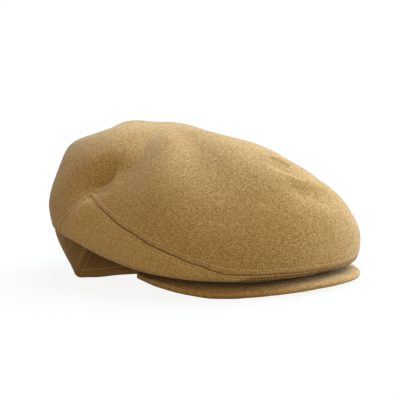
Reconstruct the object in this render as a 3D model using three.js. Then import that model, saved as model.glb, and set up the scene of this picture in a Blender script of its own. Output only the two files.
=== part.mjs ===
// Flat cap of brushed wool cloth, in millimetres, +Z up.
// +X is the wearer's left, -Y is the front, and the origin is on the surface that the cap rests on.
import * as THREE from 'three';

// Driving dimensions
const clothThickness = 2;
const seamGap = 0.3;
const crown = { halfWidth: 96.5, halfLength: 131.5, middleY: 1.95, power: 2.18, apexY: 34.3, apexZ: 112 };
const apexSoftness = 0.12;
const headOpening = { halfWidth: 76.5, halfLength: 105, middleY: 13.2, power: 2.25 };
const peakEdge = { halfWidth: 88.5, halfLength: 114.4, middleY: -19.05, power: 2 };
const peakThickness = 4.5;
const peakTipThickness = 3;
const peakRootInset = 3.5;
const peakRootSweep = 0.87;
const peakArch = 0.8;
const peakTipTaper = 0.7;

// A place on the crown has two angles. "around" goes from 0 at the front to 180 at the back, negative on
// the left. "down" goes from 0 at the apex to 90 at the fold, where the crown is widest, 180 under the
// rolled fold, 270 at the tuck above the wall, and 360 at the hem.
const sectionStep = 30;

// Crown above the fold, every 30 degrees from the front to the back: the height of its widest line, how
// flat the top is and how upright the wall is
const domeSections = [
  { foldZ: 24.7, topPower: 1.2, wallPower: 3.1 },
  { foldZ: 29.8, topPower: 1.35, wallPower: 1.65 },
  { foldZ: 24.4, topPower: 1.6, wallPower: 1.88 },
  { foldZ: 31.8, topPower: 1.65, wallPower: 1.5 },
  { foldZ: 37.6, topPower: 2.5, wallPower: 1.54 },
  { foldZ: 40.7, topPower: 3.2, wallPower: 2.26 },
  { foldZ: 41, topPower: 3.2, wallPower: 3.5 },
];

// Crown under the fold, at the same places: the size of the rolled fold, the share of the way in to the hem
// at the tuck, and the heights of the tuck and the hem
const underSections = [
  { rollDown: 12.3, rollIn: 7, tuckReach: 0.95, tuckZ: 13.5, hemZ: 10.8 },
  { rollDown: 18.5, rollIn: 7, tuckReach: 0.95, tuckZ: 13.2, hemZ: 10.8 },
  { rollDown: 9.9, rollIn: 7, tuckReach: 1, tuckZ: 15, hemZ: 12.8 },
  { rollDown: 8.9, rollIn: 7.1, tuckReach: 1.05, tuckZ: 18, hemZ: 8.4 },
  { rollDown: 3.4, rollIn: 6.3, tuckReach: 1.1, tuckZ: 23, hemZ: 2 },
  { rollDown: 4, rollIn: 1.4, tuckReach: 0.1, tuckZ: 35, hemZ: 0 },
  { rollDown: 4.5, rollIn: 2, tuckReach: 0.2, tuckZ: 30, hemZ: 0 },
];

// The hem stands out and down a little where the rear seam meets it
const hemCorner = { around: 129, push: 2.6, drop: 1.3, width: 8 };

// Seam between the top panel and a side panel: millimetres below the fold, at even steps from the front
// centre to the rear corner of the side panel, and the millimetres that a degree of "down" stands for there
const cornerAround = 112.5;
const topSeam = [
  { below: 16.3 },
  { below: 15.8 },
  { below: 15.4 },
  { below: 14.9 },
  { below: 12.1 },
  { below: 1.6 },
  { below: -5.9 },
  { below: -10.3 },
  { below: -14.6 },
  { below: -17.4 },
  { below: -21.9 },
  { below: -26.6 },
  { below: -30.6 },
];
const overFoldScale = 1.25;
const underFoldScale = 0.35;
const seamStep = cornerAround / (topSeam.length - 1);

// Rear seam of a side panel, from its upper corner over the fold to the hem
const rearSeam = [
  { down: 65.5, around: 112.5 },
  { down: 71.4, around: 115.1 },
  { down: 77.4, around: 119 },
  { down: 81.9, around: 123 },
  { down: 87.5, around: 128.4 },
  { down: 180, around: 127 },
  { down: 270, around: 120 },
  { down: 360, around: 129.5 },
];
const rearSeamSlant = 1.4;

// Lower edge of the peak: its height every 15 degrees from the front centre to the tip
const peakStep = 15;
const peakHeights = [{ z: 2.8 }, { z: 2 }, { z: 0.6 }, { z: -0.7 }, { z: 1.2 }, { z: 5.2 }, { z: 8.2 }];

// Soft dents and folds pressed into the crown: a middle, a direction, a length, a width and a height
const pressCentre = new THREE.Vector3(0, 18, 40);
const presses = [
  { what: 'corner hollow', at: [-77, 36, 78], along: [17, -34, 13], length: 22, width: 13, height: -7 },
  { what: 'corner swell', at: [-60, 36, 97], along: [17, -34, 13], length: 24, width: 12, height: 1 },
  { what: 'deepest hollow', at: [-67, 37, 84], along: [19, -6, 18], length: 15, width: 10, height: -3 },
  { what: 'middle swell', at: [-38, -62, 80], along: [-46, -71, -52], length: 45, width: 22, height: 2.4 },
  { what: 'upper front fold', at: [12, -82, 86], along: [19, -11, -10], length: 20, width: 8, height: 0.5 },
  { what: 'lower front fold', at: [18, -102, 69], along: [45, -6, -19], length: 28, width: 9, height: 2.6 },
  { what: 'front hollow', at: [16, -92, 79], along: [30, -8, -15], length: 26, width: 8, height: -1.4 },
  { what: 'rear shoulder', at: [-39, 106, 97], along: [1, 0, 0], length: 26, width: 20, height: 4.9 },
  { what: 'shoulder hollow', at: [-48, 110, 88], along: [0, 0, 1], length: 14, width: 14, height: -1.9 },
  { what: 'fold fullness', at: [-71, 100, 50], along: [0, 0, 1], length: 18, width: 18, height: 5.2 },
  { what: 'swell dip', at: [-22, 101, 108], along: [1, 0, 0], length: 16, width: 16, height: -5.4 },
  { what: 'rear corner of the top', at: [8, 85, 113], along: [1, 0, 0], length: 14, width: 14, height: 3.7 },
  { what: 'rear swell', at: [2, 81, 111], along: [1, 0, 0], length: 40, width: 28, height: 1.4 },
  { what: 'far side sag', at: [35, 15, 106], along: [10, -25, -4], length: 26, width: 18, height: -5.4 },
];

// Numbers of grid steps
const sideColumns = 22;
const backColumns = 13;
const domeRows = 12;
const foldRows = 7;
const foldRowCrowding = 1.35;
const underDowns = [225, 270, 315, 360];
const peakColumns = 36;
const peakRows = 5;
const peakEdgeSteps = 3;

const camel = new THREE.Color(0xa98655);
const camelShade = new THREE.Color(0x8f6e42);

function radians(degrees) {
  return (degrees * Math.PI) / 180;
}

function clamp(value, low, high) {
  return Math.min(high, Math.max(low, value));
}

// Smooth curve through evenly spaced rows, level at the front and at the back
function smoothColumn(rows, step, column, angle) {
  const last = rows.length - 1;
  const place = clamp(Math.abs(angle) / step, 0, last);
  const index = Math.min(Math.floor(place), last - 1);
  const part = place - index;
  const read = (i) => rows[i < 0 ? -i : i > last ? 2 * last - i : i][column];
  const [a, b, c, d] = [read(index - 1), read(index), read(index + 1), read(index + 2)];
  const linear = (c - a) * part;
  const square = (2 * a - 5 * b + 4 * c - d) * part ** 2;
  const cube = (3 * b - a - 3 * c + d) * part ** 3;
  return 0.5 * (2 * b + linear + square + cube);
}

// Straight lines between unevenly spaced rows
function readTable(rows, key, column, value) {
  let next = rows.findIndex((row) => row[key] >= value);
  if (next < 0) next = rows.length - 1;
  const b = rows[Math.max(next, 1)];
  const a = rows[Math.max(next, 1) - 1];
  const part = clamp((value - a[key]) / (b[key] - a[key]), 0, 1);
  return a[column] + (b[column] - a[column]) * part;
}

// Point of a squared oval in plan
function ovalPoint(oval, around) {
  const sine = Math.sin(radians(around));
  const cosine = Math.cos(radians(around));
  const sidewise = Math.abs(sine / oval.halfWidth) ** oval.power;
  const lengthwise = Math.abs(cosine / oval.halfLength) ** oval.power;
  const reach = (sidewise + lengthwise) ** (-1 / oval.power);
  return new THREE.Vector2(-reach * sine, oval.middleY - reach * cosine);
}

// Share of the way across, eased at the apex so that the top has no point
function softAcross(across) {
  return (Math.hypot(across, apexSoftness) - apexSoftness) / (Math.hypot(1, apexSoftness) - apexSoftness);
}

// Distance from the middle of a section to its rounded outline, for a share of 1 across and 1 up
function sectionReach(topPower, wallPower, angle) {
  const across = Math.sin(angle);
  const up = Math.max(Math.cos(angle), 0);
  let low = 0.5;
  let high = 1.6;
  for (let i = 0; i < 40; i += 1) {
    const middle = (low + high) / 2;
    if (softAcross(middle * across) ** topPower + (middle * up) ** wallPower > 1) high = middle;
    else low = middle;
  }
  return (low + high) / 2;
}

function sectionAt(rows, around) {
  const section = {};
  for (const key of Object.keys(rows[0])) section[key] = smoothColumn(rows, sectionStep, key, around);
  return section;
}

// Crown from the apex down to the fold
function domePoint(around, down) {
  const section = sectionAt(domeSections, around);
  const fold = ovalPoint(crown, around);
  const angle = radians(down);
  const reach = sectionReach(section.topPower, section.wallPower, angle);
  const across = reach * Math.sin(angle);
  const up = reach * Math.cos(angle);
  return new THREE.Vector3(
    fold.x * across,
    crown.apexY + (fold.y - crown.apexY) * across,
    section.foldZ + (crown.apexZ - section.foldZ) * up,
  );
}

// Crown from the fold in under it to the tuck, and the wall from there to the hem
function underPoint(around, down) {
  const { foldZ } = sectionAt(domeSections, around);
  const section = sectionAt(underSections, around);
  const fold = ovalPoint(crown, around);
  const hem = ovalPoint(headOpening, around);
  const rollShare = section.rollIn / fold.distanceTo(hem);
  const roll = radians(clamp(down - 90, 0, 90));
  const tuck = radians(clamp(down - 180, 0, 90));
  const wall = clamp((down - 270) / 90, 0, 1);
  const rollZ = foldZ - section.rollDown;
  let share = rollShare * (1 - Math.cos(roll));
  share += (section.tuckReach - rollShare) * Math.sin(tuck);
  share += (1 - section.tuckReach) * wall ** 1.5;
  let z = foldZ - section.rollDown * Math.sin(roll);
  z += (section.tuckZ - rollZ) * (1 - Math.cos(tuck));
  const standing = wall * Math.exp(-(((Math.abs(around) - hemCorner.around) / hemCorner.width) ** 2));
  z += (section.hemZ - section.tuckZ) * wall - hemCorner.drop * standing;
  const plan = fold.clone().lerp(hem, share);
  plan.setLength(plan.length() + hemCorner.push * standing);
  return new THREE.Vector3(plan.x, plan.y, Math.max(z, 0));
}

function pressHeight(point) {
  let height = 0;
  for (const press of presses) {
    const away = point.clone().sub(new THREE.Vector3(...press.at));
    const lengthwise = away.dot(new THREE.Vector3(...press.along).normalize());
    const crosswise = away.lengthSq() - lengthwise ** 2;
    height += press.height * Math.exp(-((lengthwise / press.length) ** 2) - crosswise / press.width ** 2);
  }
  return height;
}

// Outer surface of the cloth
function skinPoint(around, down) {
  if (down > 90) return underPoint(around, down);
  const point = domePoint(around, down);
  const outward = point.clone().sub(pressCentre).normalize();
  const fade = clamp((90 - down) / 25, 0, 1);
  return point.addScaledVector(outward, pressHeight(point) * fade);
}

function skinNormal(around, down) {
  if (down <= 0) return new THREE.Vector3(0, 0, 1);
  const step = 0.5;
  const lower = skinPoint(around, Math.min(down + step, 360));
  const upper = skinPoint(around, down - step);
  const ahead = skinPoint(around + step, down);
  const behind = skinPoint(around - step, down);
  const normal = ahead.sub(behind).cross(lower.sub(upper)).normalize();
  if (down >= 360) normal.setZ(0).normalize();
  return normal;
}

// Moves a place by a distance in millimetres along each of its two angles
function shiftPlace(place, aroundMm, downMm) {
  const step = 0.5;
  const here = skinPoint(place.around, place.down);
  const aroundSpeed = skinPoint(place.around + step, place.down).distanceTo(here) / step;
  const downSpeed = skinPoint(place.around, Math.max(place.down - step, 0)).distanceTo(here) / step;
  return { around: place.around + aroundMm / aroundSpeed, down: place.down + downMm / downSpeed };
}

// Closed solid from a sheet: the outer faces, the same faces inside the cloth, and the cut edges
function clothSolid(places, triangles) {
  const count = places.length;
  const outer = places.map((place) => skinPoint(place.around, place.down));
  const inner = places.map((place, i) => {
    return outer[i].clone().addScaledVector(skinNormal(place.around, place.down), -clothThickness);
  });
  const faces = [];
  const edges = new Map();
  for (const [a, b, c] of triangles) {
    faces.push([a, b, c], [c + count, b + count, a + count]);
    for (const [p, q] of [[a, b], [b, c], [c, a]]) {
      if (edges.has(`${q},${p}`)) edges.delete(`${q},${p}`);
      else edges.set(`${p},${q}`, [p, q]);
    }
  }
  // Each square of a cut edge is split from its higher outer corner, so that both sides of a seam match
  for (const [p, q] of edges.values()) {
    if (outer[p].z > outer[q].z) faces.push([q, p, q + count], [p, p + count, q + count]);
    else faces.push([q, p, p + count], [q, p + count, q + count]);
  }
  return meshGeometry([...outer, ...inner], faces);
}

function meshGeometry(points, faces) {
  const geometry = new THREE.BufferGeometry();
  const coordinates = points.flatMap((point) => [point.x, point.y, point.z]);
  geometry.setAttribute('position', new THREE.Float32BufferAttribute(coordinates, 3));
  geometry.setIndex(faces.flat());
  geometry.computeVertexNormals();
  return geometry;
}

// Two triangles for each square between two rows of points, rows running to higher "around"
function bridgeRows(triangles, upper, lower) {
  for (let i = 0; i + 1 < upper.length; i += 1) {
    triangles.push([upper[i], lower[i + 1], lower[i]], [upper[i], upper[i + 1], lower[i + 1]]);
  }
}

// "down" of a row between the top seam and the underside of the fold
function foldRowDown(start, row) {
  return start + (180 - start) * (row / foldRows) ** foldRowCrowding;
}

function lowerDowns(start) {
  const downs = [];
  for (let row = 0; row <= foldRows; row += 1) downs.push(foldRowDown(start, row));
  return downs.concat(underDowns);
}

function topSeamDown(around) {
  const below = smoothColumn(topSeam, seamStep, 'below', Math.min(Math.abs(around), cornerAround));
  return 90 + below / (below > 0 ? underFoldScale : overFoldScale);
}

function crownTop() {
  const places = [{ around: 0, down: 0 }];
  const triangles = [];
  const half = seamGap / 2;
  const rearHalf = half * rearSeamSlant;

  // Columns once round, from the front over the right to the back and on over the left
  const columns = [];
  for (let i = 0; i < sideColumns; i += 1) columns.push((cornerAround * i) / sideColumns);
  const backSpan = 180 - cornerAround;
  for (let i = 0; i <= backColumns; i += 1) columns.push(cornerAround + (backSpan * i) / backColumns);
  const mirrored = columns.slice(1, -1).reverse().map((around) => -around);
  const round = columns.concat(mirrored);

  let rim = null;
  for (let row = 1; row <= domeRows; row += 1) {
    const indices = round.map((around) => {
      const corner = Math.abs(Math.abs(around) - cornerAround) < 1e-6;
      const onSeam = Math.abs(around) <= cornerAround;
      let place = { around, down: (topSeamDown(around) * row) / domeRows };
      if (row === domeRows && onSeam) {
        place = shiftPlace(place, corner ? rearHalf * Math.sign(around) : 0, -half);
      }
      places.push(place);
      return places.length - 1;
    });
    indices.push(indices[0]);
    if (rim) bridgeRows(triangles, rim, indices);
    else indices.slice(1).forEach((index, i) => triangles.push([0, index, indices[i]]));
    rim = indices;
  }

  // Tail: the back columns carried on over the fold and down to the hem
  let upper = rim.slice(sideColumns, sideColumns + 2 * backColumns + 1);
  for (const down of lowerDowns(topSeamDown(cornerAround)).slice(1)) {
    const edge = readTable(rearSeam, 'down', 'around', down);
    const indices = [];
    for (let i = -backColumns; i <= backColumns; i += 1) {
      const around = 180 + ((180 - edge) * i) / backColumns;
      let place = { around: around > 180 ? around - 360 : around, down };
      if (Math.abs(i) === backColumns) place = shiftPlace(place, i < 0 ? rearHalf : -rearHalf, 0);
      places.push(place);
      indices.push(places.length - 1);
    }
    bridgeRows(triangles, upper, indices);
    upper = indices;
  }
  return clothSolid(places, triangles);
}

// side is 1 for the wearer's right and -1 for the left
function sidePanel(side) {
  const places = [];
  const triangles = [];
  const half = seamGap / 2;
  const rearHalf = half * rearSeamSlant;
  const rowCount = foldRows + underDowns.length;
  const corner = topSeamDown(cornerAround);
  let upper = null;
  for (let row = 0; row <= rowCount; row += 1) {
    const rearDown = lowerDowns(corner)[row];
    const edge = readTable(rearSeam, 'down', 'around', rearDown);
    const indices = [];
    for (let i = 0; i <= sideColumns; i += 1) {
      const share = i / sideColumns;
      const down = lowerDowns(topSeamDown(cornerAround * share))[row];
      let place = { around: edge * share, down };
      const endShift = i === 0 ? half : i === sideColumns ? -rearHalf : 0;
      const seamShift = row === 0 ? half : 0;
      if (endShift || seamShift) place = shiftPlace(place, endShift, seamShift);
      places.push({ around: side * place.around, down: place.down });
      indices.push(places.length - 1);
    }
    if (side < 0) indices.reverse();
    if (upper) bridgeRows(triangles, upper, indices);
    upper = indices;
  }
  return clothSolid(places, triangles);
}

// Stiff peak: its root lies under the front of the hem, and its outer edge is rounded
function peakSolid() {
  const points = [];
  const faces = [];
  const root = { ...headOpening };
  root.halfWidth -= peakRootInset;
  root.halfLength -= peakRootInset;
  for (let column = 0; column <= peakColumns; column += 1) {
    const share = (2 * column) / peakColumns - 1;
    const angle = 90 * share;
    const outer = ovalPoint(peakEdge, angle);
    const rootAngle = angle * peakRootSweep;
    const inner = ovalPoint(root, rootAngle);
    outer.lerp(inner, peakTipTaper * Math.abs(share) ** 14);
    const thickness = peakThickness + (peakTipThickness - peakThickness) * share ** 8;
    const rootZ = smoothColumn(underSections, sectionStep, 'hemZ', rootAngle) - seamGap - thickness;
    const edgeZ = smoothColumn(peakHeights, peakStep, 'z', angle);
    const width = inner.distanceTo(outer);
    const edgeShare = thickness / 2 / width;
    const add = (across, up) => {
      const plan = inner.clone().lerp(outer, across);
      const arch = peakArch * Math.sin(Math.PI * clamp(across, 0, 1)) * (1 - share ** 2);
      const z = Math.max(rootZ + (edgeZ - rootZ) * across + arch, 0) + up * thickness;
      points.push(new THREE.Vector3(plan.x, plan.y, z));
    };
    for (let row = 0; row < peakRows; row += 1) add((row / peakRows) * (1 - edgeShare), 0);
    for (let step = 0; step <= peakEdgeSteps + 1; step += 1) {
      const turn = (Math.PI * step) / (peakEdgeSteps + 1);
      add(1 - edgeShare + edgeShare * Math.sin(turn), 0.5 - 0.5 * Math.cos(turn));
    }
    for (let row = peakRows - 1; row > 0; row -= 1) add((row / peakRows) * (1 - edgeShare), 1);
    add(0, 1);
  }
  const size = points.length / (peakColumns + 1);
  for (let column = 0; column < peakColumns; column += 1) {
    for (let i = 0; i < size; i += 1) {
      const next = (i + 1) % size;
      const a = column * size + i;
      const b = column * size + next;
      faces.push([a, b + size, a + size], [a, b, b + size]);
    }
  }
  const lastStart = peakColumns * size;
  for (let i = 1; i + 1 < size; i += 1) {
    faces.push([0, i + 1, i], [lastStart, lastStart + i, lastStart + i + 1]);
  }
  return meshGeometry(points, faces);
}

function addPiece(group, name, geometry, color) {
  const material = new THREE.MeshStandardMaterial({ color, roughness: 0.95, metalness: 0 });
  const piece = new THREE.Mesh(geometry, material);
  piece.name = name;
  group.add(piece);
}

const cap = new THREE.Group();
addPiece(cap, 'crown_top', crownTop(), camel);
addPiece(cap, 'side_panel_right', sidePanel(1), camel);
addPiece(cap, 'side_panel_left', sidePanel(-1), camel);
addPiece(cap, 'peak', peakSolid(), camelShade);

export default cap;
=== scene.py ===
# Flat cap of brushed wool cloth, dressed for the camera. Blender 4.5, front towards -Y, wearer's left +X.
import math
import bpy
import numpy as np
from mathutils import Matrix, Vector, noise
from mathutils.kdtree import KDTree


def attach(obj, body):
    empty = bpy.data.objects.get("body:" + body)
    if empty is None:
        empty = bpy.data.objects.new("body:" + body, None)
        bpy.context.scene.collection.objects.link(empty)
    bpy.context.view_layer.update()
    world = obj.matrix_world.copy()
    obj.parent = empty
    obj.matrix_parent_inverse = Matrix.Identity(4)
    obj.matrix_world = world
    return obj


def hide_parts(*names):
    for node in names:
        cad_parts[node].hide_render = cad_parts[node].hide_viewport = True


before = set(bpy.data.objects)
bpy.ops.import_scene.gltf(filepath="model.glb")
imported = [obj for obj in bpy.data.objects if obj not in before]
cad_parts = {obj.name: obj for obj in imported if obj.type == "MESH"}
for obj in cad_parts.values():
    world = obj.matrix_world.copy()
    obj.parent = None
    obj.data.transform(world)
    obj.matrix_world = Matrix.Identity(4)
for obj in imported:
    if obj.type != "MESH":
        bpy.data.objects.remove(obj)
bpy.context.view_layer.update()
mm = 0.001
print("frame loaded:", ", ".join(sorted(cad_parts)))

# The crown's form, in millimetres. A place on its cloth is (around, down), in degrees: around from the
# front towards the wearer's right, and down from the top (0) over the fold, which is the widest line (90),
# round the roll (180) and the tuck (270) to the hem (360).
crownForm = {
    "plan": {"halfWidth": 96.5, "halfLength": 131.5, "middleY": 1.95, "power": 2.18},   # the fold
    "head": {"halfWidth": 76.5, "halfLength": 105, "middleY": 13.2, "power": 2.25},     # the hem
    "apexY": 34.3, "apexZ": 112, "apexSoftness": 0.12,
    # one value each sectionStep degrees, from the front to the back
    "sectionStep": 30,
    "foldZ": [24.7, 29.8, 24.4, 31.8, 37.6, 40.7, 41],      # height of the fold
    "topPower": [1.2, 1.35, 1.6, 1.65, 2.5, 3.2, 3.2],      # how flat the top is
    "wallPower": [3.1, 1.65, 1.88, 1.5, 1.54, 2.26, 3.5],   # how upright the wall is
    "rollDown": [12.3, 18.5, 9.9, 8.9, 3.4, 4, 4.5],        # height of the roll
    "rollIn": [7, 7, 7, 7.1, 6.3, 1.4, 2],                  # depth of the roll
    "tuckReach": [0.95, 0.95, 1, 1.05, 1.1, 0.1, 0.2],      # how far in the tuck goes: 1 is over the hem
    "tuckZ": [13.5, 13.2, 15, 18, 23, 35, 30],              # height of the tuck's inner end
    "hemZ": [10.8, 10.8, 12.8, 8.4, 2, 0, 0],
    "wallCurve": 1.5,
    # the rear seam stands out at the hem
    "hemCorner": {"around": 129, "push": 2.6, "drop": 1.3, "width": 8},
    # the top seam, millimetres below the fold each seamStep degrees from the front to the corner
    "seamStep": 9.375,
    "topSeam": [16.3, 15.8, 15.4, 14.9, 12.1, 1.6, -5.9, -10.3, -14.6, -17.4, -21.9, -26.6, -30.6],
    "overFoldScale": 1.25, "underFoldScale": 0.35,          # millimetres in a degree of "down"
    "seamStart": 0.3, "cornerAround": 112.5,
    # the rear seam, from the corner to the hem
    "rearSeamDown": [65.5, 71.4, 77.4, 81.9, 87.5, 180, 270, 360],
    "rearSeamAround": [112.5, 115.1, 119, 123, 128.4, 127, 120, 129.5],
    # the presses push straight away from a point inside and fade out above the fold
    "pressCentre": (0, 18, 40), "pressFade": 25,
}

# how many points the lines on the cloth are drawn with
samples = {
    "topSeam": 900, "rearSeam": 400, "hem": 2400, "crease": 240,
    "sideColumns": 1500, "backColumns": 800, "panelColumn": 240,
    "stitchRow": 700, "rearStitchRow": 420,
}

# soft dents and folds: middle, direction, length, width, height
crownPresses = [
    ((-77, 36, 78), (17, -34, 13), 22, 13, -7),         # hollow over the rear corner
    ((-60, 36, 97), (17, -34, 13), 24, 12, 1),          # swell above it
    ((-67, 37, 84), (19, -6, 18), 15, 10, -3),          # deepest part of the hollow
    ((-38, -62, 80), (-46, -71, -52), 45, 22, 2.4),     # swell down the middle of the top
    ((12, -82, 86), (19, -11, -10), 20, 8, 0.5),        # upper front fold
    ((18, -102, 69), (45, -6, -19), 28, 9, 2.6),        # lower front fold
    ((16, -92, 79), (30, -8, -15), 26, 8, -1.4),        # hollow between the two
    ((-39, 106, 97), (1, 0, 0), 26, 20, 4.9),           # rear shoulder
    ((-48, 110, 88), (0, 0, 1), 14, 14, -1.9),          # hollow under it
    ((-71, 100, 50), (0, 0, 1), 18, 18, 5.2),           # fullness over the fold behind the seam
    ((-22, 101, 108), (1, 0, 0), 16, 16, -5.4),         # dip beside the rear swell
    ((8, 85, 113), (1, 0, 0), 14, 14, 3.7),             # soft rear corner of the top
    ((2, 81, 111), (1, 0, 0), 40, 28, 1.4),             # swell at the back of the top
    ((35, 15, 106), (10, -25, -4), 26, 18, -5.4),       # sag along the far side
]


def rise(value, start, span):           # 0 up to the start, 1 from a span after it
    return np.clip((value - start) / span, 0, 1)


def fall(value, end, span):             # 1 up to a span before the end, 0 from the end on
    return np.clip((end - value) / span, 0, 1)


def bump(value, width):
    return np.exp(-(value / width) ** 2)


# smooth curve through evenly spaced values, level at both ends
def smoothColumn(values, step, angle):
    values = np.asarray(values, float)
    last = len(values) - 1
    place = np.clip(np.abs(angle) / step, 0, last)
    index = np.minimum(place.astype(int), last - 1)
    part = place - index
    after = index + 2
    a, b, c = values[np.abs(index - 1)], values[index], values[index + 1]
    d = values[np.where(after > last, 2 * last - after, after)]
    square = (2 * a - 5 * b + 4 * c - d) * part ** 2
    cube = (3 * b - a - 3 * c + d) * part ** 3
    return 0.5 * (2 * b + (c - a) * part + square + cube)


def formColumn(name, around):
    return smoothColumn(crownForm[name], crownForm["sectionStep"], around)


def ovalPoint(oval, around):
    sine, cosine = np.sin(np.radians(around)), np.cos(np.radians(around))
    sidewise = np.abs(sine / oval["halfWidth"]) ** oval["power"]
    lengthwise = np.abs(cosine / oval["halfLength"]) ** oval["power"]
    reach = (sidewise + lengthwise) ** (-1 / oval["power"])
    return -reach * sine, oval["middleY"] - reach * cosine


# how far the dome reaches at an angle from its top, found by halving
def sectionReach(topPower, wallPower, angle):
    shortest, longest, halvings = 0.5, 1.6, 34
    soft = crownForm["apexSoftness"]
    across, up = np.sin(angle), np.maximum(np.cos(angle), 0)
    low, high = np.full(across.shape, shortest), np.full(across.shape, longest)
    for _ in range(halvings):
        middle = (low + high) / 2
        eased = (np.hypot(middle * across, soft) - soft) / (math.hypot(1, soft) - soft)
        outside = eased ** topPower + (middle * up) ** wallPower > 1
        high = np.where(outside, middle, high)
        low = np.where(outside, low, middle)
    return (low + high) / 2


def domePoint(around, down):
    foldX, foldY = ovalPoint(crownForm["plan"], around)
    foldZ = formColumn("foldZ", around)
    angle = np.radians(down)
    reach = sectionReach(formColumn("topPower", around), formColumn("wallPower", around), angle)
    across, up = reach * np.sin(angle), reach * np.cos(angle)
    apexY, apexZ = crownForm["apexY"], crownForm["apexZ"]
    return np.stack([foldX * across, apexY + (foldY - apexY) * across, foldZ + (apexZ - foldZ) * up], -1)


def underPoint(around, down):
    foldX, foldY = ovalPoint(crownForm["plan"], around)
    hemX, hemY = ovalPoint(crownForm["head"], around)
    foldZ, hemZ, tuckZ = (formColumn(name, around) for name in ("foldZ", "hemZ", "tuckZ"))
    rollDown, tuckReach = formColumn("rollDown", around), formColumn("tuckReach", around)
    rollShare = formColumn("rollIn", around) / np.hypot(hemX - foldX, hemY - foldY)
    roll = np.radians(np.clip(down - 90, 0, 90))
    tuck = np.radians(np.clip(down - 180, 0, 90))
    wall = rise(down, 270, 90)
    share = rollShare * (1 - np.cos(roll)) + (tuckReach - rollShare) * np.sin(tuck)
    share = share + (1 - tuckReach) * wall ** crownForm["wallCurve"]
    z = foldZ - rollDown * np.sin(roll) + (tuckZ - foldZ + rollDown) * (1 - np.cos(tuck))
    corner = crownForm["hemCorner"]
    standing = wall * bump(np.abs(around) - corner["around"], corner["width"])
    z = z + (hemZ - tuckZ) * wall - corner["drop"] * standing
    x, y = foldX + (hemX - foldX) * share, foldY + (hemY - foldY) * share
    longer = 1 + corner["push"] * standing / np.hypot(x, y)
    return np.stack([x * longer, y * longer, np.maximum(z, 0)], -1)


def pressHeight(points):
    height = np.zeros(points.shape[:-1])
    for at, along, length, width, depth in crownPresses:
        away = points - np.array(at, float)
        lengthwise = away @ (np.array(along, float) / np.linalg.norm(along))
        crosswise = (away ** 2).sum(-1) - lengthwise ** 2
        height += depth * np.exp(-((lengthwise / length) ** 2) - crosswise / width ** 2)
    return height


def skin(around, down):                 # outer face of the cloth
    around, down = np.broadcast_arrays(np.asarray(around, float), np.asarray(down, float))
    dome = domePoint(around, np.clip(down, 0, 90))
    outward = dome - np.array(crownForm["pressCentre"], float)
    outward /= np.linalg.norm(outward, axis=-1, keepdims=True)
    dome = dome + outward * (pressHeight(dome) * fall(down, 90, crownForm["pressFade"]))[..., None]
    return np.where((down > 90)[..., None], underPoint(around, down), dome)


def skinNormal(around, down):
    step = 0.4
    lower, upper = skin(around, np.minimum(down + step, 360)), skin(around, np.maximum(down - step, 0))
    normal = np.cross(skin(around + step, down) - skin(around - step, down), lower - upper)
    return normal / np.maximum(np.linalg.norm(normal, axis=-1, keepdims=True), 1e-9)


# walks in the surface from each place, square to the line that the places follow: to its left from outside
def offsetPlaces(around, down, distance):
    step, rounds = 0.02, 8
    points = skin(around, down)
    along = np.gradient(points, axis=0)
    along /= np.linalg.norm(along, axis=-1, keepdims=True)
    target = points + np.cross(skinNormal(around, down), along) * distance
    for _ in range(rounds):
        here = skin(around, down)
        perAround = (skin(around + step, down) - here) / step
        perDown = (skin(around, down - step) - here) / -step
        aa, dd = (perAround ** 2).sum(-1), (perDown ** 2).sum(-1)
        ad = (perAround * perDown).sum(-1)
        missing = target - here
        ma, md = (missing * perAround).sum(-1), (missing * perDown).sum(-1)
        det = aa * dd - ad ** 2
        around = around + (ma * dd - md * ad) / det
        down = np.clip(down + (md * aa - ma * ad) / det, 1, 359.9)
    return around, down


def topSeamDown(around):
    f = crownForm
    below = smoothColumn(f["topSeam"], f["seamStep"], np.minimum(np.abs(around), f["cornerAround"]))
    return 90 + below / np.where(below > 0, f["underFoldScale"], f["overFoldScale"])


def rearSeamTop():                      # "down" of the corner, where the rear seam starts
    return float(topSeamDown(crownForm["cornerAround"]))


def rearSeamAround(down):
    return np.interp(down, crownForm["rearSeamDown"], crownForm["rearSeamAround"])


# the top seam and the rear seam of each side, each a dense row of points
def seamLines():
    around = np.linspace(crownForm["seamStart"], crownForm["cornerAround"], samples["topSeam"])
    down = np.linspace(rearSeamTop(), 360, samples["rearSeam"])
    lines = []
    for side in (1, -1):
        lines.append(skin(side * around, topSeamDown(around)))
        lines.append(skin(side * rearSeamAround(down), down))
    return lines


def hemLine():
    return skin(np.linspace(-180, 180, samples["hem"]), 360)


def lengthAlong(points):
    steps = np.linalg.norm(np.diff(points, axis=0), axis=-1)
    return np.concatenate([np.zeros((1,) + steps.shape[1:]), steps.cumsum(0)])


# gives, for points, how far each is from the lines and how far along them its nearest place is
def lineFinder(*lines):
    points = np.concatenate(lines)
    tree = KDTree(len(points))
    for i, point in enumerate(points):
        tree.insert(point, i)
    tree.balance()
    along = np.concatenate([lengthAlong(line) for line in lines])

    def find(targets):
        found = [tree.find(point) for point in targets]
        return np.array([f[2] for f in found]), along[[f[1] for f in found]]
    return find


findSeam = lineFinder(*seamLines())
findHem = lineFinder(hemLine())
print("seam lines laid")

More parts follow.
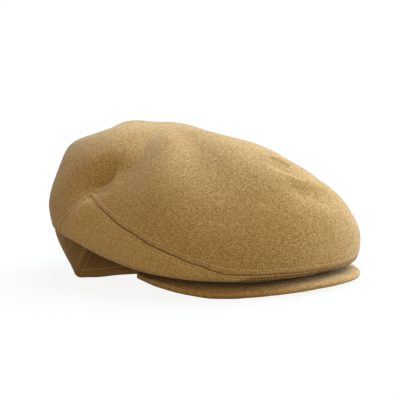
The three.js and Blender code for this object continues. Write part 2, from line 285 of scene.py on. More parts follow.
# crisp folds in the cloth: the places (around, down) that each runs through, its height and its width
clothCreases = [
    # upper front fold
    ([(-1.2, 38), (-2.8, 41.2), (-4.2, 45.5), (-8, 48.8)], 1.6, 2.6),
    # hollow under it
    ([(4.8, 42.8), (2.8, 46.8), (1.5, 50.8), (-1, 54)], -1, 4),
    # lower front fold
    ([(4, 50.2), (2.8, 53.8), (-1.2, 57), (-7.2, 60.8), (-11, 64), (-13.8, 67.2)], 1.8, 2.8),
    # hollow beside it
    ([(8.2, 54.5), (6.8, 58.2), (3.2, 61.8), (-2, 65.5), (-6.8, 69.5)], -1.2, 4.5),
    # flap over the rear corner
    ([(113.8, 66.1), (113.8, 62.8), (112.1, 60.5), (108.6, 58.8), (102.2, 57.1), (99.4, 54.2),
      (99.1, 50.2), (99.5, 46.1), (100.1, 42.8)], 1.7, 2.6),
    # hollow in front of the flap
    ([(118.6, 61.9), (116.9, 58.9), (114.6, 56.4), (112.2, 54.2), (109.9, 51.5), (108.1, 48.5),
      (107.5, 45), (107.8, 42.4)], -2.3, 5),
    # rear edge of the side panel
    ([(108.5, 67.8), (111.2, 72.5), (115.2, 78.2), (119.8, 84)], 3, 8),
    # front seam, pressed flat
    ([(0, 138), (0, 200), (0, 300), (0, 350)], -0.3, 0.6),
]


def creaseFinders():
    finders = []
    for places, height, width in clothCreases:
        steps = np.linspace(0, len(places) - 1, samples["crease"])
        around, down = (np.interp(steps, np.arange(len(places)), column) for column in zip(*places))
        line = skin(around, down)
        finders.append((lineFinder(line), lengthAlong(line)[-1], height, width))
    return finders


creases = creaseFinders()
print("creases laid:", len(creases))

# the sewn cloth, in millimetres, the places in degrees
clothFinish = {
    "thickness": 2.0, "hemThickness": 2.6, "hemReach": 9,       # thicker towards the hem
    "hemRounding": 0.15, "hemSliver": 0.02,
    "creaseEnds": 0.6,                                          # lower is blunter
    "grooveDepth": 0.42, "grooveWidth": 0.45,                   # the seam itself
    "padHeight": 0.2, "padStart": 0.9, "padWidth": 3.2, "padFade": 1.6,     # turned-in edges beside it
    "rowAway": 3.8, "rowDepth": 0.28, "rowWidth": 0.6,          # pulled down along the stitches
    "puckerHeight": 0.32, "puckerLength": 5.5, "puckerReach": 6.5, "puckerSeed": 3.7,
    "hemRowAway": 6.0, "hemPad": 0.3, "hemPadWidth": 4, "hemPadFade": 2.5,
    "allowanceHeight": 0.7, "allowanceWidth": 7.0, "allowanceFade": 1.5,    # inside the cap
    "waveHeight": 0.64, "waveLength": 34, "waveSeed": 11.3,
    "fineWaveHeight": 0.4, "fineWaveLength": 0.42, "fineWaveSeed": 5.1,     # shares of the wave's
    # fullness of the rolled fold, and the places where it starts and ends
    "rollHeight": 1.5, "rollTop": 92, "rollSpan": 84,
    "rollFront": 25, "rollFrontFade": 20, "rollRear": 138, "rollRearFade": 15,
}


def clothNoise(points, length, seed):
    return np.array([noise.noise(Vector(p) / length + Vector((seed, 0, -seed))) for p in points])


# height of the cloth over its plain form, from its folds
def foldRelief(points, arounds, downs):
    f = clothFinish
    relief = np.zeros(len(points))
    for find, length, height, width in creases:
        away, place = find(points)
        ends = np.clip(np.sin(np.pi * place / length), 0, 1) ** f["creaseEnds"]
        relief += height * bump(away, width) * ends
    roll = np.sin(np.pi * rise(downs, f["rollTop"], f["rollSpan"])) ** 2
    behindFront = rise(np.abs(arounds), f["rollFront"], f["rollFrontFade"])
    beforeRear = fall(np.abs(arounds), f["rollRear"], f["rollRearFade"])
    relief += f["rollHeight"] * roll * (behindFront * beforeRear)
    wave = clothNoise(points, f["waveLength"], f["waveSeed"])
    fineWave = clothNoise(points, f["waveLength"] * f["fineWaveLength"], f["fineWaveSeed"])
    return relief + f["waveHeight"] * (wave + f["fineWaveHeight"] * fineWave)


# height beside seams, stitch rows and the hem
def sewnRelief(seam, along, hem):
    f = clothFinish
    relief = -f["grooveDepth"] * bump(seam, f["grooveWidth"])
    pad = rise(seam, 0, f["padStart"]) * (1 - rise(seam, f["padWidth"], f["padFade"]))
    relief += f["padHeight"] * pad
    relief -= f["rowDepth"] * bump(seam - f["rowAway"], f["rowWidth"])
    pucker = clothNoise(np.stack([along, along * 0, along * 0], -1), f["puckerLength"], f["puckerSeed"])
    relief += f["puckerHeight"] * pucker * bump(seam, f["puckerReach"])
    relief += f["hemPad"] * (1 - rise(hem, f["hemPadWidth"], f["hemPadFade"]))
    return relief - f["rowDepth"] * bump(hem - f["hemRowAway"], f["rowWidth"])


# rows of places down a panel: crowded at the start and the end, evenly spread between
def spreadRows(startDown, endDown, aroundOf, nearStart, nearEnd, middle):
    mostCrowded = 0.85                  # the crowded ends take at most this share of a short column
    downs = startDown + (endDown - startDown) * np.linspace(0, 1, samples["panelColumn"])[:, None]
    arounds = aroundOf(downs)
    points = skin(arounds, downs)
    length = lengthAlong(points)
    rows = []
    for column in range(points.shape[1]):
        whole = length[-1, column]
        fit = min(1, mostCrowded * whole / (nearStart[-1] + nearEnd[-1]))
        first, last = np.array(nearStart) * fit, whole - np.array(nearEnd[::-1]) * fit
        targets = np.concatenate([first, np.linspace(first[-1], last[0], middle + 2)[1:-1], last])
        rows.append(np.interp(targets, length[:, column], downs[:, column]))
    downs = np.array(rows).T
    return aroundOf(downs), downs


def addPiece(name, points, faces, material, slot, *nodes, shade=None):
    mesh = bpy.data.meshes.new(name)
    mesh.from_pydata((np.asarray(points) * mm).tolist(), [], faces)
    mesh.polygons.foreach_set("use_smooth", [True] * len(mesh.polygons))
    # painted shade under the fold and darker seam lines, given to the material as a point attribute
    if shade is not None:
        layer = mesh.attributes.new("seamLineAndPaintedShade", "FLOAT", "POINT")
        layer.data.foreach_set("value", np.asarray(shade, np.float32))
    mesh.materials.append(material)
    mesh.update()
    piece = bpy.data.objects.new(name, mesh)
    bpy.context.scene.collection.objects.link(piece)
    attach(piece, "root")
    if nodes:
        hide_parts(*nodes)
    print(f"{name}: {len(mesh.polygons)} faces")
    return piece


# painted shade under the fold and under the front of the crown, where the cloth turns under in shade, and
# a darker line along the seams, with the places in degrees
paintedShadeLook = {
    "topPanel": 0.5, "sidePanel": 0.97,                             # how dark the painted shade on each is under the fold
    "underStart": 195, "underFade": 25,
    "frontEarlier": 58, "frontSharper": 17,                         # the painted shade starts sooner and sharper under the front
    "frontEnd": 46, "frontFade": 18,
    "hemLighter": 0.45, "hemStart": 290, "hemFade": 70,
    "backLighter": 0.8, "backStart": 135, "backFade": 25,
    "seam": 1.0, "seamWidth": 0.5,
    "cornerLighter": 0.8, "cornerStart": 92, "cornerFade": 12,      # the seams, from the corner on
}


# paints shade into the colour under the fold and in the band under the front, and darkens the seam lines
def paintShadeAndSeamLine(arounds, downs, seam, paintedShadeUnderFold):
    w = paintedShadeLook
    around = np.abs(arounds)
    front = fall(around, w["frontEnd"], w["frontFade"])
    start, fade = w["underStart"] - w["frontEarlier"] * front, w["underFade"] - w["frontSharper"] * front
    under = paintedShadeUnderFold * rise(downs, start, fade)
    under *= 1 - w["hemLighter"] * rise(downs, w["hemStart"], w["hemFade"])
    under *= 1 - w["backLighter"] * rise(around, w["backStart"], w["backFade"])
    line = w["seam"] * (1 - w["cornerLighter"] * rise(around, w["cornerStart"], w["cornerFade"]))
    return np.maximum(line * bump(seam, w["seamWidth"]), under)


# faces of a closed wall from those of its outer side: both sides, and the rim between them
def wallFaces(faces, count):
    quads = np.array([face for face in faces if len(face) == 4])
    triangles = np.array([face for face in faces if len(face) == 3], int).reshape(-1, 3)
    quadEdges = [quads[:, [i, (i + 1) % 4]] for i in range(4)]
    triangleEdges = [triangles[:, [i, (i + 1) % 3]] for i in range(3)]
    edges = np.concatenate(quadEdges + triangleEdges)
    key = np.sort(edges, axis=1) @ np.array([count, 1])
    _, first, uses = np.unique(key, return_index=True, return_counts=True)
    rim = edges[first[uses == 1]]
    rimFaces = np.stack([rim[:, 1], rim[:, 0], rim[:, 0] + count, rim[:, 1] + count], 1)
    groups = (quads, quads[:, ::-1] + count, rimFaces, triangles, triangles[:, ::-1] + count)
    return [face for group in groups for face in group.tolist()]


# a sewn panel's wall: outer and inner faces over the same places, joined round its edges
def clothWall(arounds, downs, faces, paintedShadeUnderFold):
    f = clothFinish
    plain, normal = skin(arounds, downs), skinNormal(arounds, downs)
    normal[downs <= 0.01] = (0, 0, 1)   # at the very top, where the columns meet
    seam, along = findSeam(plain)
    hem, _ = findHem(plain)
    radius = (f["thickness"] + f["hemPad"]) / 2 + f["hemRounding"]
    dip = radius - np.sqrt(np.maximum(radius ** 2 - np.clip(radius - hem, 0, radius) ** 2, 0))
    folds = foldRelief(plain, arounds, downs)
    relief = folds + sewnRelief(seam, along, hem)
    hemShare = 1 - rise(hem, 0, f["hemReach"])
    allowance = 1 - rise(seam, f["allowanceWidth"], f["allowanceFade"])
    thickness = f["thickness"] + (f["hemThickness"] - f["thickness"]) * hemShare
    thickness += f["allowanceHeight"] * allowance * (1 - hemShare)
    outer = plain + normal * (relief - dip)[:, None]
    inner = plain + normal * (folds + dip - thickness)[:, None]
    atHem = (hem < 1e-3)[:, None]
    inner = np.where(atHem, outer - normal * f["hemSliver"], inner)
    # painted shade under the fold and the darker seam lines on the outer face, none on the inner face
    shade = np.concatenate([paintShadeAndSeamLine(arounds, downs, seam, paintedShadeUnderFold), np.zeros(len(plain))])
    return np.concatenate([outer, inner]), wallFaces(faces, len(plain)), shade


def gridFaces(rows):                    # rows of point numbers, each running to higher "around"
    upper, lower = rows[:-1], rows[1:]
    quads = np.stack([upper[:, :-1], upper[:, 1:], lower[:, 1:], lower[:, :-1]], -1)
    return quads.reshape(-1, 4).tolist()


# millimetres from a seam and from the hem to the crowded rows beside them, and how the rest is spread
panelGrid = {
    "nearSeam": [0, 0.3, 0.6, 0.95, 1.35, 1.8, 2.4, 3.0, 3.5, 3.8, 4.1, 4.6, 5.4, 6.6, 8.4, 11],
    "nearHem": [0, 0.06, 0.25, 0.55, 1.0, 1.6, 2.6, 4, 5.2, 5.7, 6, 6.3, 6.8, 8],
    "lowerRows": 40, "domeRows": 46, "seamSpacing": 1.6, "backSpacing": 1.8, "apexRing": 1.6,
}


# distances from 0 to the whole length, crowded beside a seam at its end
def crowdedAtEnd(whole, spacing):
    near = np.array(panelGrid["nearSeam"])
    count = round((whole - near[-1]) / spacing)
    return np.concatenate([np.linspace(0, whole - near[-1], count)[:-1], whole - near[::-1]])


# "around" of the columns beside the side panel, from the front centre to the rear corner
def seamColumns():
    around = np.linspace(0, crownForm["cornerAround"], samples["sideColumns"])
    length = lengthAlong(skin(around, topSeamDown(around)))
    return np.interp(crowdedAtEnd(length[-1], panelGrid["seamSpacing"]), length, around)


# shares of the way from the back centre (0) to the rear seam (1)
def backColumns():
    around = np.linspace(180, crownForm["cornerAround"], samples["backColumns"])
    length = lengthAlong(skin(around, float(topSeamDown(180))))
    return crowdedAtEnd(length[-1], panelGrid["backSpacing"]) / length[-1]


# the top panel: a dome with a pole at its top, and the tail that runs down the back from it
def buildTopPanel(material):
    g = panelGrid
    sideAround, backShare = seamColumns(), backColumns()
    corner = crownForm["cornerAround"]
    toBack = 180 - (180 - corner) * backShare[::-1][1:]
    right = np.concatenate([sideAround, toBack])
    columns = np.concatenate([right, -right[1:-1][::-1]])
    arounds, downs = spreadRows(0.0, topSeamDown(columns), lambda d: np.broadcast_to(columns, d.shape),
                                [g["apexRing"]], g["nearSeam"], g["domeRows"])
    dome = np.arange(arounds.size).reshape(arounds.shape) + 1
    dome = np.concatenate([dome, dome[:, :1]], 1)
    pole = [[0, int(dome[0, i + 1]), int(dome[0, i])] for i in range(len(columns))]

    share = np.concatenate([backShare[::-1], backShare[1:]])
    sign = np.concatenate([np.ones(len(backShare)), -np.ones(len(backShare) - 1)])

    def tailAround(d):
        return sign * (180 - (180 - rearSeamAround(d)) * share)
    tailArounds, tailDowns = spreadRows(rearSeamTop(), np.full(len(share), 360.0), tailAround,
                                        g["nearSeam"], g["nearHem"], g["lowerRows"])
    tail = np.arange(tailArounds[1:].size).reshape(-1, len(share)) + arounds.size + 1
    start = len(sideAround) - 1
    tail = np.concatenate([dome[-1:, start:start + len(share)], tail])
    faces = pole + gridFaces(dome) + gridFaces(tail)
    allArounds = np.concatenate([[0], arounds.ravel(), tailArounds[1:].ravel()])
    allDowns = np.concatenate([[0], downs.ravel(), tailDowns[1:].ravel()])
    points, faces, shade = clothWall(allArounds, allDowns, faces, paintedShadeLook["topPanel"])
    return addPiece("crownTopPanel", points, faces, material, "crown_cloth", "crown_top", shade=shade)


def buildSidePanel(name, side, node, material):
    g = panelGrid
    sideAround = seamColumns()
    share = sideAround / crownForm["cornerAround"]
    top, ring = topSeamDown(sideAround), rearSeamTop()

    def panelAround(downs):
        lower = (downs - top) / (360 - top)
        return rearSeamAround(ring + lower * (360 - ring)) * share
    arounds, downs = spreadRows(top, np.full(len(share), 360.0), panelAround,
                                g["nearSeam"], g["nearHem"], g["lowerRows"])
    rows = np.arange(arounds.size).reshape(arounds.shape)
    faces = gridFaces(rows if side > 0 else rows[:, ::-1])
    points, faces, shade = clothWall(side * arounds.ravel(), downs.ravel(), faces, paintedShadeLook["sidePanel"])
    return addPiece(name, points, faces, material, "crown_cloth", node, shade=shade)


peakForm = {
    "edge": {"halfWidth": 88.5, "halfLength": 114.4, "middleY": -19.05, "power": 2},
    "thickness": 4.5, "tipThickness": 3, "tipThinning": 8, "rootInset": 3.5, "rootSweep": 0.87,
    "arch": 0.8, "tipTaper": 0.7, "tipSharpness": 14, "seamGap": 0.3, "lowest": 0.02,
    # height of the edge each heightStep degrees, from the front to a tip
    "heightStep": 15, "heights": [2.8, 2, 0.6, -0.7, 1.2, 5.2, 8.2],
    "columns": 170, "rows": 22, "edgeSteps": 12,
    "edgeSeam": 0.35, "edgeSeamTurn": 1.0, "edgeSeamWidth": 0.2,    # depth, and place and width in radians
    "waveHeight": 0.32, "waveLength": 17, "waveSeed": 7.7,
}


# stiff peak covered in cloth, with the seam of its covers low on the rounded edge
def buildPeak(material):
    f = peakForm
    share = np.linspace(-1, 1, f["columns"] + 1)
    angle = 90 * share
    root = dict(crownForm["head"])
    root["halfWidth"] -= f["rootInset"]
    root["halfLength"] -= f["rootInset"]
    inner = np.stack(ovalPoint(root, angle * f["rootSweep"]), -1)
    outer = np.stack(ovalPoint(f["edge"], angle), -1)
    outer += (inner - outer) * (f["tipTaper"] * np.abs(share) ** f["tipSharpness"])[:, None]
    thickness = f["thickness"] + (f["tipThickness"] - f["thickness"]) * share ** f["tipThinning"]
    rootZ = formColumn("hemZ", angle * f["rootSweep"]) - f["seamGap"] - thickness
    edgeZ = smoothColumn(f["heights"], f["heightStep"], angle)
    edgeShare = thickness / 2 / np.linalg.norm(outer - inner, axis=-1)

    turns = np.pi * np.arange(f["edgeSteps"] + 1) / f["edgeSteps"]
    flat = np.arange(f["rows"]) / f["rows"]
    ring = [(step * (1 - edgeShare), 0) for step in flat]       # under the peak, from its root to its edge
    for turn in turns:                                          # round the edge
        seam = f["edgeSeam"] * bump(turn - f["edgeSeamTurn"], f["edgeSeamWidth"])
        radius = 1 - seam / (f["thickness"] / 2)
        across = 1 - edgeShare + edgeShare * math.sin(turn) * radius
        ring.append((across, 0.5 - 0.5 * math.cos(turn) * radius))
    ring += [(step * (1 - edgeShare), 1) for step in flat[::-1]]        # back over the top
    points = []
    for across, up in ring:
        plan = inner + (outer - inner) * across[:, None]
        arch = f["arch"] * np.sin(np.pi * np.clip(across, 0, 1)) * (1 - share ** 2)
        z = np.maximum(rootZ + (edgeZ - rootZ) * across + arch, 0) + up * thickness
        points.append(np.concatenate([plan, z[:, None]], 1))
    points = np.array(points).transpose(1, 0, 2)
    size = points.shape[1]
    index = np.arange(points.shape[0] * size).reshape(points.shape[:2])
    index = np.concatenate([index, index[:, :1]], 1)
    faces = np.stack([index[:-1, :-1], index[:-1, 1:], index[1:, 1:], index[1:, :-1]], -1)
    faces = faces.reshape(-1, 4).tolist()
    faces.append(index[0, :-1][::-1].tolist())
    faces.append(index[-1, :-1].tolist())
    middleZ = (points[:, :, 2].max(1) + points[:, :, 2].min(1)) / 2
    points = points.reshape(-1, 3)
    outward = np.where(points[:, 2] > np.repeat(middleZ, size), 1.0, -1.0)
    points[:, 2] += clothNoise(points, f["waveLength"], f["waveSeed"]) * f["waveHeight"] * outward
    points[:, 2] = np.maximum(points[:, 2], f["lowest"])
    return addPiece("peakCloth", points, faces, material, "peak_cloth", "peak")


# a node with its settings, each one of the node's own or else the value of an input
def addNode(tree, kind, **settings):
    node = tree.nodes.new(kind)
    for name, value in settings.items():
        if hasattr(node, name):
            setattr(node, name, value)
        else:
            node.inputs[name.replace("_", " ")].default_value = value
    return node


def mathNode(tree, operation, first, second):
    node = tree.nodes.new("ShaderNodeMath")
    node.operation = operation
    for socket, value in zip(node.inputs, (first, second)):
        if isinstance(value, (int, float)):
            socket.default_value = value
        else:
            tree.links.new(value, socket)
    return node.outputs[0]


clothLook = {
    "dark": (0.190, 0.100, 0.031), "middle": (0.347, 0.203, 0.069), "light": (0.504, 0.332, 0.141),
    "stops": {"dark": 0.1, "middle": 0.5, "light": 0.9},
    # the side panels' cloth is lighter: partly the nap's own lighter look, partly a painted highlight
    # where light falls on them
    "tone": {"crownCloth": 0.5, "sidePanelCloth": 0.61, "peakCovering": 0.53},      # higher is lighter
    # mottling of the nap, from large to small
    "cloud": {"scale": 28, "share": 0.05, "detail": 3},
    "patch": {"scale": 190, "share": 0.05, "detail": 5},
    "twill": {"scale": 1000, "share": 0.40, "detail": 3},
    "nap": {"scale": 1400, "share": 0.60, "detail": 2},
    "contrast": 3.3, "noiseRoughness": 0.6,
    "twillTurn": -12, "twillStretch": (0.45, 0.45, 1.6),        # short hairs brushed one way
    "roughness": 0.92, "specular": 0.12,
    "sheen": 0.17, "sheenRoughness": 0.5, "sheenTint": (1.0, 0.93, 0.80),
    "bumpDepth": 0.00022, "bumpStrength": 0.5,
    # colour of the darker seam lines and of the shade painted under the fold
    "seamAndShadeColour": (0.36, 0.26, 0.17),
}


def brushedCloth(name):
    look = clothLook
    material = bpy.data.materials.new(name)
    material.use_nodes = True
    tree = material.node_tree
    link = tree.links.new
    shader = tree.nodes["Principled BSDF"]
    place = addNode(tree, "ShaderNodeTexCoord").outputs["Object"]
    brushed = addNode(tree, "ShaderNodeMapping")
    brushed.inputs["Rotation"].default_value[1] = math.radians(look["twillTurn"])
    brushed.inputs["Scale"].default_value = look["twillStretch"]
    link(place, brushed.inputs["Vector"])
    layers = {}
    for kind in ("cloud", "patch", "twill", "nap"):
        layer = look[kind]
        texture = addNode(tree, "ShaderNodeTexNoise", Scale=layer["scale"], Detail=layer["detail"],
                          Roughness=look["noiseRoughness"])
        link(brushed.outputs[0] if kind == "twill" else place, texture.inputs["Vector"])
        centred = mathNode(tree, "SUBTRACT", texture.outputs["Fac"], 0.5)
        layers[kind] = mathNode(tree, "MULTIPLY", centred, layer["share"] * look["contrast"])
    total = layers["cloud"]
    for kind in ("patch", "twill", "nap"):
        total = mathNode(tree, "ADD", total, layers[kind])
    tone = mathNode(tree, "ADD", total, look["tone"][name])
    ramp = addNode(tree, "ShaderNodeValToRGB")
    ramp.color_ramp.elements.new(0.5)
    for stop, (colour, position) in zip(ramp.color_ramp.elements, look["stops"].items()):
        stop.position = position
        stop.color = (*look[colour], 1)
    link(tone, ramp.inputs["Fac"])
    # darkens the colour along the seams and paints shade under the fold and the front, by the attribute
    seam = addNode(tree, "ShaderNodeAttribute", attribute_name="seamLineAndPaintedShade").outputs["Fac"]
    darken = addNode(tree, "ShaderNodeMix", data_type="RGBA", blend_type="MULTIPLY")
    colourIn = [s for s in darken.inputs if s.type == "RGBA"]
    colourIn[1].default_value = (*look["seamAndShadeColour"], 1)
    link(seam, darken.inputs[0])
    link(ramp.outputs["Color"], colourIn[0])
    link([s for s in darken.outputs if s.type == "RGBA"][0], shader.inputs["Base Color"])
    height = mathNode(tree, "ADD", layers["twill"], layers["nap"])
    relief = addNode(tree, "ShaderNodeBump", Strength=look["bumpStrength"], Distance=look["bumpDepth"])
    link(height, relief.inputs["Height"])
    link(relief.outputs["Normal"], shader.inputs["Normal"])
    shader.inputs["Roughness"].default_value = look["roughness"]
    shader.inputs["Specular IOR Level"].default_value = look["specular"]
    shader.inputs["Sheen Weight"].default_value = look["sheen"]
    shader.inputs["Sheen Roughness"].default_value = look["sheenRoughness"]
    shader.inputs["Sheen Tint"].default_value = (*look["sheenTint"], 1)
    return material


threadLook = {
    "dark": (0.50, 0.33, 0.15), "light": (0.72, 0.52, 0.27),
    "twistScale": 1400, "twistDetail": 2, "roughness": 0.7,
}


def threadMaterial():
    look = threadLook
    material = bpy.data.materials.new("sewingThread")
    material.use_nodes = True
    tree = material.node_tree
    shader = tree.nodes["Principled BSDF"]
    place = addNode(tree, "ShaderNodeTexCoord").outputs["Object"]
    twist = addNode(tree, "ShaderNodeTexNoise", Scale=look["twistScale"], Detail=look["twistDetail"])
    tree.links.new(place, twist.inputs["Vector"])
    ramp = addNode(tree, "ShaderNodeValToRGB")
    ramp.color_ramp.elements[0].color = (*look["dark"], 1)
    ramp.color_ramp.elements[1].color = (*look["light"], 1)
    tree.links.new(twist.outputs["Fac"], ramp.inputs["Fac"])
    tree.links.new(ramp.outputs["Color"], shader.inputs["Base Color"])
    shader.inputs["Roughness"].default_value = look["roughness"]
    return material


# topstitching, in millimetres, with the places in degrees and the stitches' uneven turn in radians
stitchForm = {
    "pitch": 2.4, "length": 1.6, "width": 0.56, "height": 0.42, "turn": 0.12, "seed": 4, "lift": 0.08,
    "topStart": 0.8, "rearEnd": 357, "hemStart": 62,            # the hem's rows start beside the peak
    # a row stops this near to another seam, the hem or the top, and short bits of it are left out
    "seamSlack": 0.25, "hemClear": 1.5, "topClear": 5, "fewest": 12,
}


# each row is a line of points, with the cloth's own upward direction at each
def stitchRows():
    s = stitchForm
    away, hemAway = clothFinish["rowAway"], clothFinish["hemRowAway"]
    around = np.linspace(s["topStart"], crownForm["cornerAround"], samples["stitchRow"])
    down = np.linspace(rearSeamTop(), s["rearEnd"], samples["rearStitchRow"])
    rows = []
    for side in (1, -1):
        for distance in (-away, away):
            rows.append(offsetPlaces(side * around, topSeamDown(around), distance))
            rows.append(offsetPlaces(side * rearSeamAround(down), down, distance))
    rightHalf = np.linspace(s["hemStart"], 180, samples["stitchRow"])
    leftHalf = np.linspace(-180, -s["hemStart"], samples["stitchRow"])
    hemAround = np.concatenate([rightHalf, leftHalf[1:]])
    for distance in (hemAway, -hemAway):
        rows.append(offsetPlaces(hemAround, np.full(hemAround.shape, 360.0), distance))
    kept = []
    for arounds, downs in rows:
        points = skin(arounds, downs)
        seam, along = findSeam(points)
        hem, _ = findHem(points)
        clear = (seam > away - s["seamSlack"]) & (hem > s["hemClear"]) & (downs > s["topClear"])
        starts = np.flatnonzero(clear & ~np.concatenate([[False], clear[:-1]]))
        ends = np.flatnonzero(clear & ~np.concatenate([clear[1:], [False]])) + 1
        lift = foldRelief(points, arounds, downs) + sewnRelief(seam, along, hem) + s["lift"]
        normal = skinNormal(arounds, downs)
        points = points + normal * lift[:, None]
        kept += [(points[i:j], normal[i:j]) for i, j in zip(starts, ends) if j - i > s["fewest"]]
    return kept


def stitchTree():
    tree = bpy.data.node_groups.new("topstitching", "GeometryNodeTree")
    face = tree.interface
    face.new_socket("Geometry", in_out="INPUT", socket_type="NodeSocketGeometry")
    for name in ("Pitch", "Length", "Width", "Height"):
        socket = face.new_socket(name, in_out="INPUT", socket_type="NodeSocketFloat")
        socket.default_value = stitchForm[name.lower()] * mm
    turn = face.new_socket("Turn", in_out="INPUT", socket_type="NodeSocketFloat")
    turn.default_value = stitchForm["turn"]
    face.new_socket("Material", in_out="INPUT", socket_type="NodeSocketMaterial")
    face.new_socket("Geometry", in_out="OUTPUT", socket_type="NodeSocketGeometry")
    given, result = tree.nodes.new("NodeGroupInput"), tree.nodes.new("NodeGroupOutput")
    link = tree.links.new
    line = addNode(tree, "GeometryNodeMeshToCurve")
    link(given.outputs["Geometry"], line.inputs["Mesh"])
    even = addNode(tree, "GeometryNodeResampleCurve", mode="LENGTH")
    link(line.outputs["Curve"], even.inputs["Curve"])
    link(given.outputs["Pitch"], even.inputs["Length"])
    ball = addNode(tree, "GeometryNodeMeshUVSphere", Segments=8, Rings=5, Radius=0.5)
    size = addNode(tree, "ShaderNodeCombineXYZ")
    for axis, name in zip("XYZ", ("Length", "Width", "Height")):
        link(given.outputs[name], size.inputs[axis])
    shape = addNode(tree, "GeometryNodeTransform")
    link(ball.outputs["Mesh"], shape.inputs["Geometry"])
    link(size.outputs[0], shape.inputs["Scale"])
    smooth = addNode(tree, "GeometryNodeSetShadeSmooth")
    link(shape.outputs[0], smooth.inputs["Geometry"])
    # each stitch lies along its row and on the cloth
    tangent = addNode(tree, "GeometryNodeInputTangent")
    lay = addNode(tree, "FunctionNodeAlignRotationToVector", axis="X")
    link(tangent.outputs[0], lay.inputs["Vector"])
    upward = addNode(tree, "GeometryNodeInputNamedAttribute", data_type="FLOAT_VECTOR")
    upward.inputs["Name"].default_value = "clothUp"
    stand = addNode(tree, "FunctionNodeAlignRotationToVector", axis="Z", pivot_axis="X")
    link(lay.outputs[0], stand.inputs["Rotation"])
    link(upward.outputs["Attribute"], stand.inputs["Vector"])
    # and is turned a little, each by its own amount
    uneven = addNode(tree, "FunctionNodeRandomValue", data_type="FLOAT_VECTOR")
    uneven.inputs["Seed"].default_value = stitchForm["seed"]
    low, high = [s for s in uneven.inputs if s.type == "VECTOR"]
    low.default_value, high.default_value = (0, 0, -1), (0, 0, 1)
    scaled = addNode(tree, "ShaderNodeVectorMath", operation="SCALE")
    link([s for s in uneven.outputs if s.type == "VECTOR"][0], scaled.inputs[0])
    link(given.outputs["Turn"], scaled.inputs["Scale"])
    asTurn = addNode(tree, "FunctionNodeEulerToRotation")
    link(scaled.outputs[0], asTurn.inputs[0])
    turned = addNode(tree, "FunctionNodeRotateRotation", rotation_space="LOCAL")
    link(stand.outputs[0], turned.inputs["Rotation"])
    link(asTurn.outputs[0], turned.inputs["Rotate By"])
    spread = addNode(tree, "GeometryNodeInstanceOnPoints")
    link(even.outputs["Curve"], spread.inputs["Points"])
    link(smooth.outputs[0], spread.inputs["Instance"])
    link(turned.outputs[0], spread.inputs["Rotation"])
    real = addNode(tree, "GeometryNodeRealizeInstances")
    link(spread.outputs[0], real.inputs[0])
    dyed = addNode(tree, "GeometryNodeSetMaterial")
    link(real.outputs[0], dyed.inputs["Geometry"])
    link(given.outputs["Material"], dyed.inputs["Material"])
    link(dyed.outputs[0], result.inputs[0])
    return tree


def buildStitches(material):
    points, normals, edges = [], [], []
    for rowPoints, rowNormals in stitchRows():
        first = len(points)
        points += (rowPoints * mm).tolist()
        normals += rowNormals.tolist()
        edges += [(first + i, first + i + 1) for i in range(len(rowPoints) - 1)]
    mesh = bpy.data.meshes.new("stitchLines")
    mesh.from_pydata(points, edges, [])
    upward = mesh.attributes.new("clothUp", "FLOAT_VECTOR", "POINT")
    upward.data.foreach_set("vector", np.array(normals).ravel())
    rows = bpy.data.objects.new("stitchLines", mesh)
    bpy.context.scene.collection.objects.link(rows)
    modifier = rows.modifiers.new("topstitching", "NODES")
    modifier.node_group = stitchTree()
    for item in modifier.node_group.interface.items_tree:
        if item.in_out == "INPUT" and item.name == "Material":
            modifier[item.identifier] = material
    bpy.context.view_layer.update()
    evaluated = rows.evaluated_get(bpy.context.evaluated_depsgraph_get())
    stitches = bpy.data.meshes.new_from_object(evaluated)
    stitches.name = "topstitching"
    bpy.data.objects.remove(rows)
    piece = bpy.data.objects.new("topstitching", stitches)
    bpy.context.scene.collection.objects.link(piece)
    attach(piece, "root")
    print("topstitching:", len(stitches.polygons), "faces")
    return piece


photoView = {"azimuth": -44, "elevation": 8, "distance": 1.3, "target": (0, -0.00205, 0.05),
             "roll": -2.4, "lens": 152.7, "shift": (-0.0125, 0.02), "clip": (0.05, 200)}


def addCamera():
    v = photoView
    azimuth, elevation = math.radians(v["azimuth"]), math.radians(v["elevation"])
    back = Vector((math.sin(azimuth) * math.cos(elevation), -math.cos(azimuth) * math.cos(elevation),
                   math.sin(elevation)))
    data = bpy.data.cameras.new("photoCamera")
    data.lens = v["lens"]
    data.shift_x, data.shift_y = v["shift"]
    data.clip_start, data.clip_end = v["clip"]
    camera = bpy.data.objects.new("photoCamera", data)
    bpy.context.scene.collection.objects.link(camera)
    turn = (-back).to_track_quat("-Z", "Y").to_matrix() @ Matrix.Rotation(math.radians(v["roll"]), 3, "Z")
    camera.matrix_world = Matrix.Translation(Vector(v["target"]) + back * v["distance"]) @ turn.to_4x4()
    bpy.context.scene.camera = camera


studio = {
    "floorHalf": 60, "floorSeen": (0.55, 0.545, 0.54), "floorUnder": (0.45, 0.42, 0.38),
    "floorGlow": 0.9, "floorRoughness": 0.9,
    "skyStrength": 0.35, "fillColour": (1, 0.82, 0.54), "keyColour": (0.82, 1, 1.14), "spread": 60,
    "lamps": {"softKeyFront": {"strength": 2.74, "colour": "keyColour", "towards": (0.814, -0.470, 0.342)},
              "softKeyRear": {"strength": 0.56, "colour": "keyColour", "towards": (0.785, 0.453, 0.423)},
              "softKeyHigh": {"strength": 5.2, "colour": "keyColour", "towards": (0.642, 0.034, 0.766)},
              "softFill": {"strength": 0.87, "colour": "fillColour", "towards": (-0.602, -0.623, 0.500)}},
}


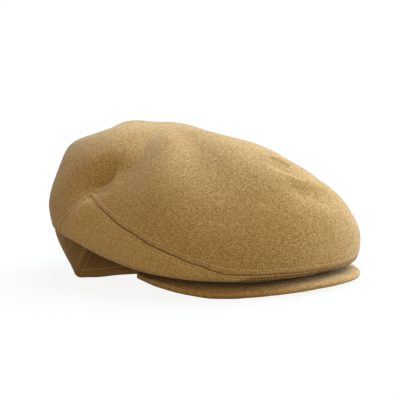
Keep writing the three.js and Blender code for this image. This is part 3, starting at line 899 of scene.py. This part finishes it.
# pale paper, lit from below as a sweep table is, that sends little light back up
def addFloor():
    half = studio["floorHalf"]
    mesh = bpy.data.meshes.new("floor")
    mesh.from_pydata([(-half, -half, 0), (half, -half, 0), (half, half, 0), (-half, half, 0)], [],
                     [(0, 1, 2, 3)])
    floor = bpy.data.objects.new("floor", mesh)
    bpy.context.scene.collection.objects.link(floor)
    paper = bpy.data.materials.new("paleFloor")
    paper.use_nodes = True
    tree = paper.node_tree
    link = tree.links.new
    shader = tree.nodes["Principled BSDF"]
    shader.inputs["Roughness"].default_value = studio["floorRoughness"]
    shader.inputs["Specular IOR Level"].default_value = 0.0
    seen = addNode(tree, "ShaderNodeLightPath").outputs["Is Camera Ray"]
    colour = addNode(tree, "ShaderNodeMix", data_type="RGBA")
    link(seen, colour.inputs[0])
    under, over = [socket for socket in colour.inputs if socket.type == "RGBA"]
    under.default_value, over.default_value = (*studio["floorUnder"], 1), (*studio["floorSeen"], 1)
    link([out for out in colour.outputs if out.type == "RGBA"][0], shader.inputs["Base Color"])
    glow = addNode(tree, "ShaderNodeEmission", Strength=1.0)
    both = addNode(tree, "ShaderNodeMixShader")
    link(mathNode(tree, "MULTIPLY", seen, studio["floorGlow"]), both.inputs[0])
    link(shader.outputs[0], both.inputs[1])
    link(glow.outputs[0], both.inputs[2])
    link(both.outputs[0], tree.nodes["Material Output"].inputs["Surface"])
    mesh.materials.append(paper)


def addLight():
    world = bpy.data.worlds.new("studioSky")
    bpy.context.scene.world = world
    world.use_nodes = True
    sky = world.node_tree.nodes["Background"]
    sky.inputs["Color"].default_value = (*studio["fillColour"], 1)
    sky.inputs["Strength"].default_value = studio["skyStrength"]
    for name, lamp in studio["lamps"].items():
        sun = bpy.data.lights.new(name, "SUN")
        sun.energy = lamp["strength"]
        sun.angle = math.radians(studio["spread"])
        sun.color = studio[lamp["colour"]]
        placed = bpy.data.objects.new(name, sun)
        placed.rotation_euler = Vector(lamp["towards"]).to_track_quat("Z", "Y").to_euler()
        bpy.context.scene.collection.objects.link(placed)
    bpy.context.scene.view_settings.view_transform = "Standard"


addCamera()
addFloor()
addLight()
print("camera, floor and lights set")
crownCloth = brushedCloth("crownCloth")
sideCloth = brushedCloth("sidePanelCloth")
peakFabric = brushedCloth("peakCovering")
buildTopPanel(crownCloth)
buildSidePanel("rightSidePanel", 1, "side_panel_right", sideCloth)
buildSidePanel("leftSidePanel", -1, "side_panel_left", sideCloth)
buildPeak(peakFabric)
buildStitches(threadMaterial())
